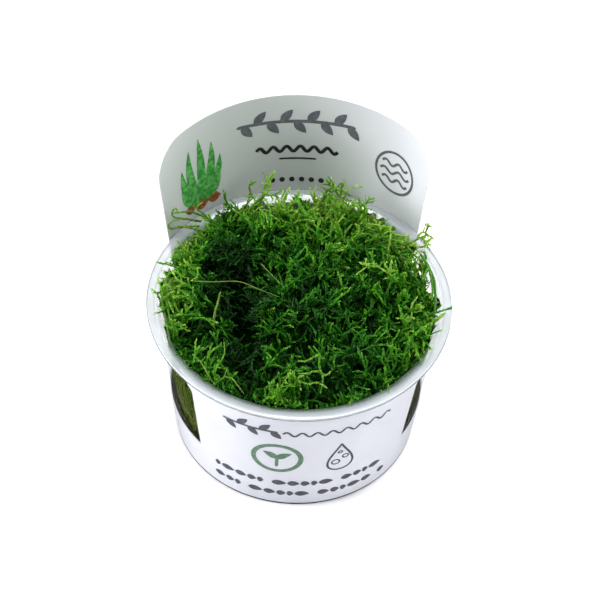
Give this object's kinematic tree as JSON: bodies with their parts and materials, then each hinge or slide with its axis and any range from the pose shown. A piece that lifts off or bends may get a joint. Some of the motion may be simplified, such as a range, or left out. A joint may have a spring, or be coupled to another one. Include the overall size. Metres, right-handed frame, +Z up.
{
  "type": "tissue culture spiky moss",
  "caption": "Cushion of spiky green aquarium moss in a clear flanged tissue-culture cup, with a white wrap-round card that stands up as a tall panel behind.",
  "frame": {"origin": "centre of the cup's flat base, on the surface that it stands on", "axes": "+Z up along the cup's axis; the card's tall back panel stands on the +Y side and its printed front panel faces -Y"},
  "size_m": [0.09, 0.0978, 0.0842],
  "materials": {
    "clear_plastic": "clear glossy polypropylene with a frosted white flange",
    "white_card": "white printed film card with a satin coating",
    "moss": "fine moist moss leaves, bright green tips over dark depths"
  },
  "bodies": {
    "root": {"cup": "clear_plastic", "label_card": "white_card", "moss_tuft_back_left": "moss", "moss_tuft_back_right": "moss", "moss_tuft_left": "moss", "moss_tuft_centre": "moss", "moss_tuft_right": "moss", "moss_tuft_front_left": "moss", "moss_tuft_front_right": "moss"}
  },
  "joints": []
}
